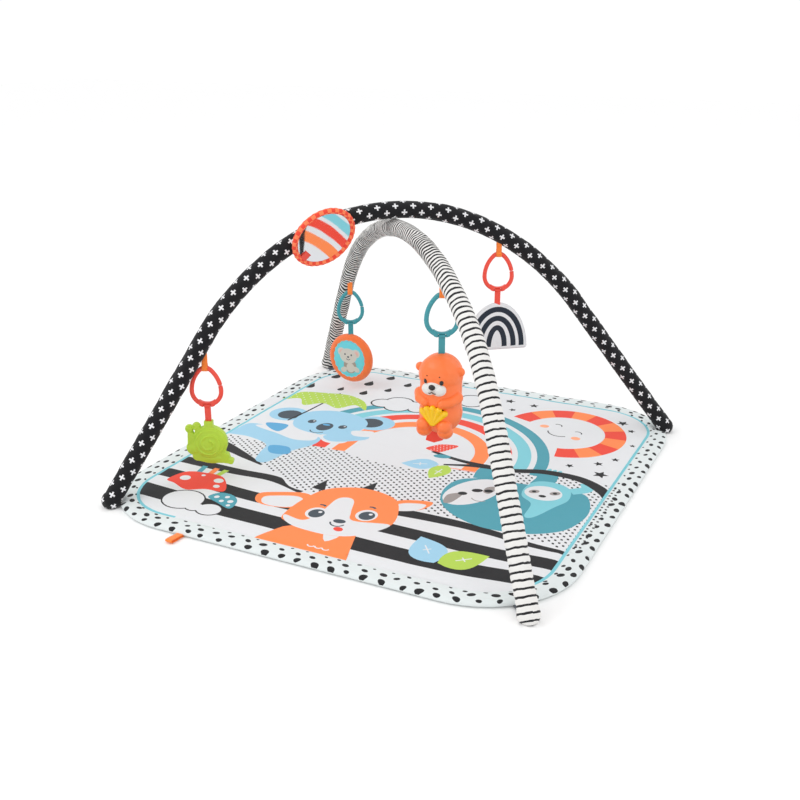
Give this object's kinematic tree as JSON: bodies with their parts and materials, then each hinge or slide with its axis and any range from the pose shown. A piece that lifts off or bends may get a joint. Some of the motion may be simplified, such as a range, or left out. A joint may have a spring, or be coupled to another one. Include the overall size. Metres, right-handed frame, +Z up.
{
  "type": "activity play gym",
  "caption": "Padded play mat with two crossed padded arches, a tilting round mirror and hanging toys on link rings.",
  "frame": {"origin": "centre of the mat's underside, on the floor", "axes": "+X to the right along the front edge of the mat, +Y to its back edge, +Z up"},
  "size_m": [0.7758, 0.828, 0.4378],
  "materials": {
    "mat_cover": "matte printed polyester",
    "padding": "soft polyester wadding",
    "orange_ribbon": "satin ribbon",
    "grey_plastic": "matte",
    "pole": "smooth glass-fibre tube",
    "steel": "bright",
    "foam": "closed-cell foam tube",
    "black_cloth": "matte cloth with small white plus signs",
    "striped_cloth": "gathered off-white cloth with thin black stripes",
    "red_plastic": "smooth",
    "teal_plastic": "smooth",
    "green_rubber": "soft matte teether rubber",
    "white_cloth": "matte",
    "crackle_film": "thin crinkly film",
    "dark_cloth": "matte",
    "orange_plush": "short plush",
    "blue_cloth": "printed cloth",
    "orange_plastic": "satin",
    "white_plastic": "satin",
    "red_rubber": "matte",
    "yellow_plastic": "glossy",
    "circuit_board": "solder-mask green",
    "black_plastic": "matte",
    "red_cloth": "printed checks",
    "mirror_film": "flexible mirror plastic"
  },
  "bodies": {
    "mat": {"mat_bottom_cover": "mat_cover", "mat_filling": "padding", "mat_top_cover": "mat_cover", "mat_ribbon_tab": "orange_ribbon", "corner_socket_front_left": "grey_plastic", "corner_socket_front_right": "grey_plastic", "corner_socket_back_left": "grey_plastic", "corner_socket_back_right": "grey_plastic"},
    "black_arch": {"black_pole_front": "pole", "black_pole_back": "pole", "black_pole_joiner": "steel", "black_foam_front": "foam", "black_foam_back": "foam", "black_sleeve": "black_cloth", "black_foot_plugs": "grey_plastic", "loop_snail": "orange_ribbon", "loop_crinkle": "orange_ribbon"},
    "striped_arch": {"striped_pole_front": "pole", "striped_pole_back": "pole", "striped_pole_joiner": "steel", "striped_foam_front": "foam", "striped_foam_back": "foam", "striped_sleeve": "striped_cloth", "striped_foot_plugs": "grey_plastic", "loop_animal": "orange_ribbon", "loop_disc": "orange_ribbon"},
    "mirror": {"mirror_strap": "black_cloth", "mirror_back_cover": "red_cloth", "mirror_rim": "red_cloth", "mirror_disc": "mirror_film", "mirror_ribbon_tab": "red_cloth"},
    "snail_ring": {"ring_snail": "red_plastic"},
    "crinkle_ring": {"ring_crinkle": "red_plastic"},
    "animal_ring": {"ring_animal": "teal_plastic"},
    "disc_ring": {"ring_disc": "teal_plastic"},
    "snail_toy": {"strap_snail": "red_plastic", "snail_teether": "green_rubber"},
    "crinkle_toy": {"strap_crinkle": "red_plastic", "crinkle_front": "white_cloth", "crinkle_film": "crackle_film", "crinkle_back": "dark_cloth"},
    "disc_toy": {"strap_disc": "teal_plastic", "disc_front_cover": "orange_plush", "disc_back_cover": "orange_plush", "disc_filling": "padding", "disc_window": "blue_cloth"},
    "animal_toy": {"strap_animal": "teal_plastic", "animal_front_shell": "orange_plastic", "animal_back_shell": "orange_plastic", "animal_muzzle": "white_plastic", "animal_tail": "red_rubber", "animal_button_spring": "steel", "animal_speaker": "black_plastic", "animal_circuit_board": "circuit_board", "animal_cells": "steel", "animal_battery_door": "orange_plastic", "animal_screws": "steel"},
    "animal_button": {"animal_button": "yellow_plastic"},
    "animal_switch": {"animal_switch": "black_plastic"}
  },
  "joints": [
    {"name": "black_arch_lean", "type": "hinge", "parent": "mat", "child": "black_arch", "pos_m": [-0.344, -0.365, 0.01], "axis": [0.7142, 0.7, 0], "range_deg": [0, 25.6]},
    {"name": "striped_arch_lean", "type": "hinge", "parent": "mat", "child": "striped_arch", "pos_m": [0.352, -0.388, 0.01], "axis": [-0.6908, 0.723, 0], "range_deg": [-4, 4]},
    {"name": "snail_ring_swing", "type": "hinge", "parent": "black_arch", "child": "snail_ring", "pos_m": [-0.2592, -0.21699, 0.18448], "axis": [-0.4384, 0.8988, 0], "range_deg": [-25, 25]},
    {"name": "snail_toy_swing", "type": "hinge", "parent": "snail_ring", "child": "snail_toy", "pos_m": [-0.2592, -0.21699, 0.13238], "axis": [0.8988, 0.4384, 0], "range_deg": [-35, 35]},
    {"name": "crinkle_ring_swing", "type": "hinge", "parent": "black_arch", "child": "crinkle_ring", "pos_m": [0.08658, 0.16675, 0.32536], "axis": [-0.4384, 0.8988, 0], "range_deg": [-25, 25]},
    {"name": "crinkle_toy_swing", "type": "hinge", "parent": "crinkle_ring", "child": "crinkle_toy", "pos_m": [0.08658, 0.16675, 0.27326], "axis": [0.8988, 0.4384, 0], "range_deg": [-35, 35]},
    {"name": "animal_ring_swing", "type": "hinge", "parent": "striped_arch", "child": "animal_ring", "pos_m": [0.10829, -0.1199, 0.32416], "axis": [-0.4384, 0.8988, 0], "range_deg": [-25, 25]},
    {"name": "animal_toy_swing", "type": "hinge", "parent": "animal_ring", "child": "animal_toy", "pos_m": [0.10829, -0.1199, 0.27206], "axis": [0.8988, 0.4384, 0], "range_deg": [-35, 35]},
    {"name": "disc_ring_swing", "type": "hinge", "parent": "striped_arch", "child": "disc_ring", "pos_m": [-0.25477, 0.25532, 0.19811], "axis": [-0.4384, 0.8988, 0], "range_deg": [-25, 25]},
    {"name": "disc_toy_swing", "type": "hinge", "parent": "disc_ring", "child": "disc_toy", "pos_m": [-0.25477, 0.25532, 0.14601], "axis": [0.8988, 0.4384, 0], "range_deg": [-35, 35]},
    {"name": "mirror_turn", "type": "hinge", "parent": "black_arch", "child": "mirror", "pos_m": [-0.14543, -0.04716, 0.39726], "axis": [0.6125, 0.7105, 0.3464], "range_deg": [-20, 20]},
    {"name": "animal_button_press", "type": "slide", "parent": "animal_toy", "child": "animal_button", "axis": [-0.0349, 0.9994, 0], "range_m": [0, 0.0025], "stiffness_N_per_m": 600, "springref_m": -0.0015, "deforming": ["animal_button_spring"]},
    {"name": "animal_switch_slide", "type": "slide", "parent": "animal_toy", "child": "animal_switch", "axis": [0, 0, 1], "range_m": [0, 0.005]}
  ]
}
